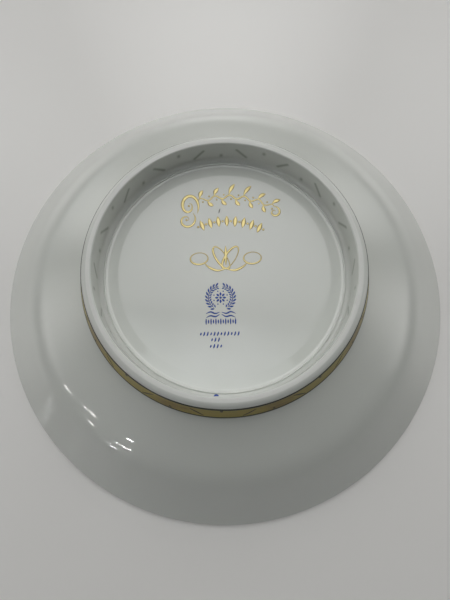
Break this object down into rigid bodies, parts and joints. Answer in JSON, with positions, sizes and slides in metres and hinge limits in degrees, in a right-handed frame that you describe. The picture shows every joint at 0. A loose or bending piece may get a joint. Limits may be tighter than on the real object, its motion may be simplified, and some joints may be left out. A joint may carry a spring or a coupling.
{
  "type": "footed souvenir dish",
  "caption": "Shallow white porcelain dish on a tall foot ring with an enamelled band, lying face down with gilt and blue ornament on its base.",
  "frame": {"origin": "centre of the rim circle, on the surface that the rim rests on when the dish lies face down", "axes": "+Z along the axis of the dish towards the foot ring, which is up because the dish lies face down; the base ornament reads from -Y"},
  "size_m": [0.24, 0.24, 0.0511],
  "materials": {
    "white_glaze": "clear gloss glaze over white hard-paste porcelain",
    "ochre_enamel": "brushed ochre overglaze enamel, glossy",
    "green_line_enamel": "dark olive green banding line, glossy",
    "brown_stroke_enamel": "brown-green brush strokes in enamel, glossy",
    "gilding": "burnished gold, slightly brushed",
    "blue_underglaze": "cobalt blue under a gloss glaze",
    "dark_slip": "dark brush tick"
  },
  "bodies": {
    "root": {"bowl_body": "white_glaze", "foot_ring": "white_glaze", "luting_bead": "white_glaze", "band_ground": "ochre_enamel", "band_lower_line": "green_line_enamel", "band_upper_line": "green_line_enamel", "band_strokes": "brown_stroke_enamel", "band_dots": "brown_stroke_enamel", "gilt_scroll": "gilding", "gilt_leaf_row": "gilding", "gilt_knot": "gilding", "blue_wreath": "blue_underglaze", "blue_rosette": "blue_underglaze", "blue_ribbon": "blue_underglaze", "tick_row_long": "blue_underglaze", "tick_row_short": "blue_underglaze", "tick_row_low": "blue_underglaze", "inspector_tick": "dark_slip", "painter_dab": "blue_underglaze"}
  },
  "joints": []
}
